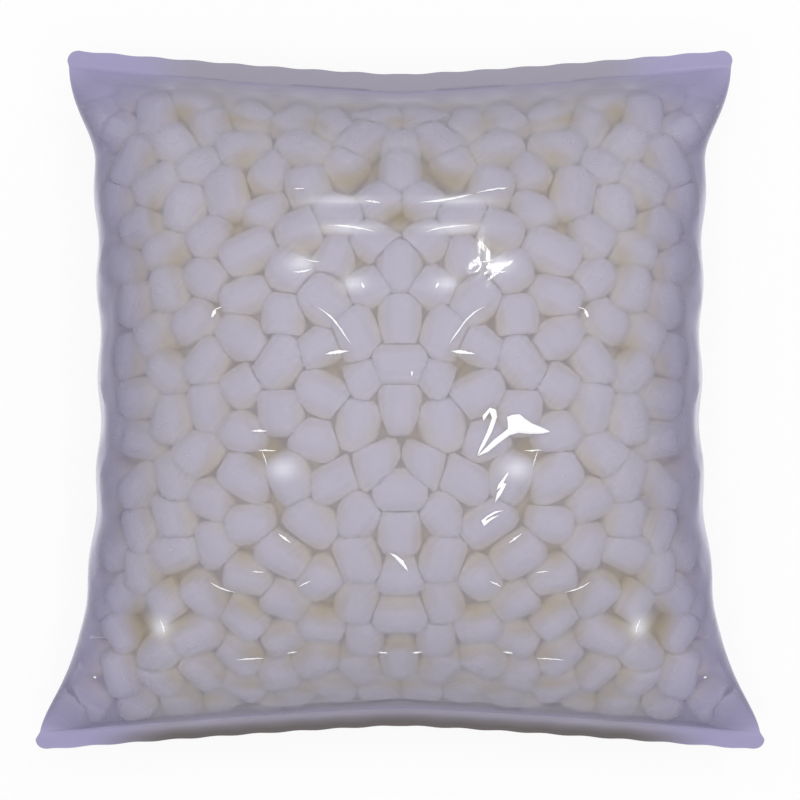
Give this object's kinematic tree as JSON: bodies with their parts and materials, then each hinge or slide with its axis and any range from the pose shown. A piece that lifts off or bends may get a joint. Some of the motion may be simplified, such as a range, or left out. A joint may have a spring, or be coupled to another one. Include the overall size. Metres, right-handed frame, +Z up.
{
  "type": "bag of packing peanuts",
  "caption": "Clear pillow bag of film, heat sealed at both ends and full of white foam packing peanuts, lying on its back.",
  "frame": {"origin": "on the surface that the bag lies on, under the middle of the bag", "axes": "+X across the bag, +Y along the bag from the bottom seal to the top seal, +Z up through its front"},
  "size_m": [0.4, 0.385, 0.15],
  "materials": {
    "film": "thin clear polyethylene film, glossy, with a faint lavender cast",
    "foam": "soft white starch foam, matt"
  },
  "bodies": {
    "root": {"film_bag": "film", "peanut_heap": "foam", "peanut_01": "foam", "peanut_02": "foam", "peanut_03": "foam", "peanut_04": "foam", "peanut_05": "foam", "peanut_06": "foam", "peanut_07": "foam", "peanut_08": "foam", "peanut_09": "foam", "peanut_10": "foam", "peanut_11": "foam", "peanut_12": "foam", "peanut_13": "foam", "peanut_14": "foam", "peanut_15": "foam", "peanut_16": "foam", "peanut_17": "foam", "peanut_18": "foam", "peanut_19": "foam", "peanut_20": "foam", "peanut_21": "foam", "peanut_22": "foam", "peanut_23": "foam", "peanut_24": "foam", "peanut_25": "foam", "peanut_26": "foam", "peanut_27": "foam", "peanut_28": "foam", "peanut_29": "foam", "peanut_30": "foam", "peanut_31": "foam", "peanut_32": "foam", "peanut_33": "foam", "peanut_34": "foam", "peanut_35": "foam", "peanut_36": "foam", "peanut_37": "foam", "peanut_38": "foam", "peanut_39": "foam", "peanut_40": "foam", "peanut_41": "foam", "peanut_42": "foam", "peanut_43": "foam", "peanut_44": "foam", "peanut_45": "foam", "peanut_46": "foam", "peanut_47": "foam", "peanut_48": "foam", "peanut_49": "foam", "peanut_50": "foam", "peanut_51": "foam", "peanut_52": "foam", "peanut_53": "foam", "peanut_54": "foam", "peanut_55": "foam", "peanut_56": "foam"}
  },
  "joints": []
}
